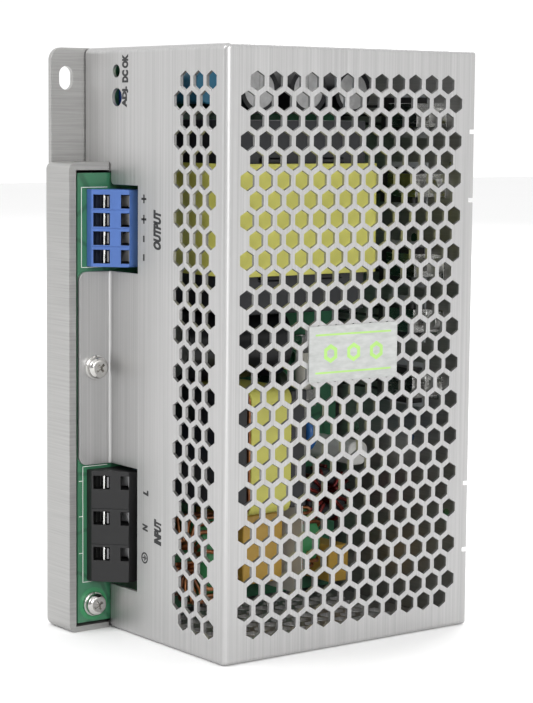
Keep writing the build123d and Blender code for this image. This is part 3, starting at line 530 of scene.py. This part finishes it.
def lettering(name, text, patch, slant, weight):
    """Printed letters on the front that read upwards, stretched to fill the given patch."""
    curve = bpy.data.curves.new(name, "FONT")
    curve.body = text
    curve.shear = slant
    curve.offset = weight
    curve.resolution_u = 6
    holder = bpy.data.objects.new(name, curve)
    bpy.context.scene.collection.objects.link(holder)
    mesh = baked(holder)
    bpy.data.objects.remove(holder)
    low = Vector([min(v.co[k] for v in mesh.vertices) for k in range(3)])
    high = Vector([max(v.co[k] for v in mesh.vertices) for k in range(3)])
    x0, x1, z0, z1 = patch
    for vert in mesh.vertices:
        u = (vert.co.x - low.x) / (high.x - low.x)
        v = (vert.co.y - low.y) / (high.y - low.y)
        vert.co = place(x1 + (x0 - x1) * v, -INK, z0 + (z1 - z0) * u)
    work = bmesh.new()
    work.from_mesh(mesh)
    bmesh.ops.remove_doubles(work, verts=work.verts, dist=1e-7)
    bmesh.ops.solidify(work, geom=work.faces[:], thickness=INK * MM)
    from_bmesh(name, work, "black_ink")


def front_printing():
    for name, (text, patch, slant, weight) in WORDS.items():
        lettering(name, text, patch, slant, weight)
    bars = [(z, bar) for z in PLUS_Z for bar in PLUS_BARS]
    bars += [(z, MINUS_BAR) for z in MINUS_Z]
    work = bmesh.new()
    for z, (across, up) in bars:
        slab(work, (POLE_X - across, -INK, z - up), (POLE_X + across, 0, z + up))
    from_bmesh("print_poles", work, "black_ink")
    earth_sign(EARTH_X, EARTH_Z)


def earth_sign(x, z):
    """Earth in a circle, turned to read upwards."""
    work = bmesh.new()
    spun(work, ring_profile(*EARTH_RING, INK), (x, 0, z), (0, -1, 0))
    length, half = EARTH_STEM
    slab(work, (x - length, -INK, z - half), (x, 0, z + half))
    for step, reach in EARTH_BARS:
        slab(work, (x + step - EARTH_BAR_HALF, -INK, z - reach), (x + step + EARTH_BAR_HALF, 0, z + reach))
    from_bmesh("print_earth", work, "black_ink")


def label_device():
    """A plain device on the label plate: three small hexagons between two thin lines."""
    low, high = case_box("badge_plate")
    top = high.x - LABEL_RECESS + LABEL_PROUD
    bottom = top - INK
    work = bmesh.new()
    for z in (low.z + LABEL_INSET, high.z - LABEL_INSET - LABEL_LINE):
        slab(work, (bottom, low.y + LABEL_INSET, z), (top, high.y - LABEL_INSET, z + LABEL_LINE))
    for k in (-1, 0, 1):
        centre = (bottom, (low.y + high.y) / 2 + k * HEXAGON_PITCH, (low.z + high.z) / 2)
        spun(work, ring_profile(*HEXAGON_RING, INK), centre, (1, 0, 0), steps=6)
    from_bmesh("label_device", work, "green_ink")


# ---------------------------------------------------------------- board details
# lines printed round each block: the outer line's Y, and the bottom and top lines' Z
BLOCK_OUTLINES = ((-9.1, 103.0, 125.4), (-8.7, 13.9, 47.1))
OUTLINE_END = -0.5                  # Y where those lines meet the cover
OUTLINE_WIDTH = 0.16
POLE_MARKS = (-9.9, -8.7, (42.9, 32.8, 22.3))     # short lines by the input block: Y from and to, and Z
SCREW_LAND_RING = (1.6, 4.6)        # inner and outer radius of the light ring under the low screw
SCREW_LAND_Y, SCREW_LAND_Z = -5.2, 7.5


def board_printing():
    """White outlines round both blocks and the light ring round the low screw."""
    top = case_box("circuit_board")[1].x
    ink = top + INK
    work = bmesh.new()
    for y, z0, z1 in BLOCK_OUTLINES:
        slab(work, (top, y, z0), (ink, y + OUTLINE_WIDTH, z1))
        slab(work, (top, y, z0), (ink, OUTLINE_END, z0 + OUTLINE_WIDTH))
        slab(work, (top, y, z1 - OUTLINE_WIDTH), (ink, OUTLINE_END, z1))
    y0, y1, marks = POLE_MARKS
    for z in marks:
        slab(work, (top, y0, z), (ink, y1, z + OUTLINE_WIDTH))
    from_bmesh("board_outlines", work, "white_ink")
    ring = bmesh.new()
    spun(ring, ring_profile(*SCREW_LAND_RING, INK), (top, SCREW_LAND_Y, SCREW_LAND_Z), (1, 0, 0))
    from_bmesh("board_screw_land", ring, "light_mask")


# ---------------------------------------------------------------- spring of the latch
SPRING_WIRE_R, SPRING_COIL_R = 0.22, 0.97
SPRING_TURNS, SPRING_STEPS = 9, 28
SPRING_FLAT = 0.8                   # about as many turns lie flat at each end


def latch_spring():
    """The latch's coil of round wire, which shortens as the latch is pulled."""
    low, high = case_box("latch_spring")
    centre = (low + high) / 2
    z0, z1 = low.z + SPRING_WIRE_R, high.z - SPRING_WIRE_R
    points = []
    for k in range(SPRING_TURNS * SPRING_STEPS + 1):
        share = k / (SPRING_TURNS * SPRING_STEPS)
        rise = (share * (SPRING_TURNS + 2 * SPRING_FLAT) - SPRING_FLAT) / SPRING_TURNS
        angle = 2 * math.pi * k / SPRING_STEPS
        x = centre.x + SPRING_COIL_R * math.cos(angle)
        y = centre.y + SPRING_COIL_R * math.sin(angle)
        points.append((x, y, z0 + (z1 - z0) * min(1.0, max(0.0, rise))))
    spring = wire("latch_spring_coil", points, SPRING_WIRE_R, "spring")
    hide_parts("latch_spring")
    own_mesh(spring)


# ---------------------------------------------------------------- moving CAD nodes
def finish_moving_nodes():
    """The clamps and the trimmer's rotor keep their CAD meshes and get better materials; the clamps' steel is
    darkened as painted shade of the slots they sit in.
    """
    for node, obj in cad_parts.items():
        if node.startswith(("output_clamp", "input_clamp")):
            paint = "clamp"
        elif node == "trimmer_rotor":
            paint = "rotor"
        else:
            continue
        for material_slot in obj.material_slots:
            material_slot.material = PAINT[paint]


# ---------------------------------------------------------------- stage
AZIMUTH, ELEVATION, ROLL = 53.181, 6.226, 0.501      # degrees
CAMERA_AT = (0.483106, -0.360408, 0.144561)          # metres
FOCAL, SENSOR = 109.12, 36.0
WALLS_DARKEN_TOWARDS = (0.62, -0.72, -0.30)          # the side the photographer stands on
WALL_GREYS = ((0.30, 1.0), (0.80, 0.30))             # how far that way, and the grey there
WALL_STRENGTH = 1.08
FLOOR_HALF = 3.6                                     # metres
LIGHTS_AIM = (0, 0, 0.08)

# light: where it stands and its size in metres, and its power in watts
LIGHTS = {
    "key": ((-0.3, -1.5, 1.2), 0.9, 13.0),
    "fill": ((1.5, -0.5, 0.6), 0.6, 13.0),
    "back": ((-0.9, 1.4, 1.2), 1.0, 14.0),
}


def make_camera():
    data = bpy.data.cameras.new("camera")
    data.lens = FOCAL
    data.sensor_width = SENSOR
    data.clip_start = 0.01
    camera = bpy.data.objects.new("camera", data)
    bpy.context.scene.collection.objects.link(camera)
    turn = Matrix.Rotation(math.radians(AZIMUTH), 3, "Z")
    tilt = Matrix.Rotation(math.radians(90 - ELEVATION), 3, "X")
    roll = Matrix.Rotation(math.radians(ROLL), 3, "Z")
    camera.matrix_world = Matrix.Translation(CAMERA_AT) @ (turn @ tilt @ roll).to_4x4()
    bpy.context.scene.camera = camera


def area_light(name, stand, size, power):
    data = bpy.data.lights.new(name, "AREA")
    data.size = size
    data.energy = power
    light = bpy.data.objects.new(name, data)
    bpy.context.scene.collection.objects.link(light)
    light.location = stand
    light.rotation_euler = (Vector(LIGHTS_AIM) - Vector(stand)).to_track_quat("-Z", "Y").to_euler()


def studio_walls(tree):
    """White behind the object and overhead, falling off to grey on the side the photographer stands."""
    background = tree.nodes["Background"]
    where = tree.nodes.new("ShaderNodeTexCoord").outputs["Generated"]
    toward = tree.nodes.new("ShaderNodeVectorMath")
    toward.operation = "DOT_PRODUCT"
    toward.inputs[1].default_value = WALLS_DARKEN_TOWARDS
    ramp = tree.nodes.new("ShaderNodeValToRGB")
    for element, (position, grey) in zip(ramp.color_ramp.elements, WALL_GREYS):
        element.position = position
        element.color = (grey, grey, grey, 1.0)
    tree.links.new(where, toward.inputs[0])
    tree.links.new(toward.outputs["Value"], ramp.inputs["Fac"])
    tree.links.new(ramp.outputs["Color"], background.inputs["Color"])
    background.inputs["Strength"].default_value = WALL_STRENGTH


def make_stage():
    mesh = bpy.data.meshes.new("floor")
    work = bmesh.new()
    bmesh.ops.create_grid(work, x_segments=8, y_segments=8, size=FLOOR_HALF)
    work.to_mesh(mesh)
    work.free()
    floor = bpy.data.objects.new("floor", mesh)
    bpy.context.scene.collection.objects.link(floor)
    paint = Paint("floor_white", (0.90, 0.90, 0.90), 0.8)
    mesh.materials.append(paint.vary(paint.noise(4.0), amount=0.004).material)
    world = bpy.data.worlds.new("studio")
    world.use_nodes = True
    studio_walls(world.node_tree)
    scene = bpy.context.scene
    scene.world = world
    scene.view_settings.view_transform = "Standard"
    for name, (stand, size, power) in LIGHTS.items():
        area_light(name, stand, size, power)


make_camera()
make_stage()
finish_nodes()
finish_moving_nodes()
ring_windings()
latch_spring()
board_printing()
front_printing()
label_device()
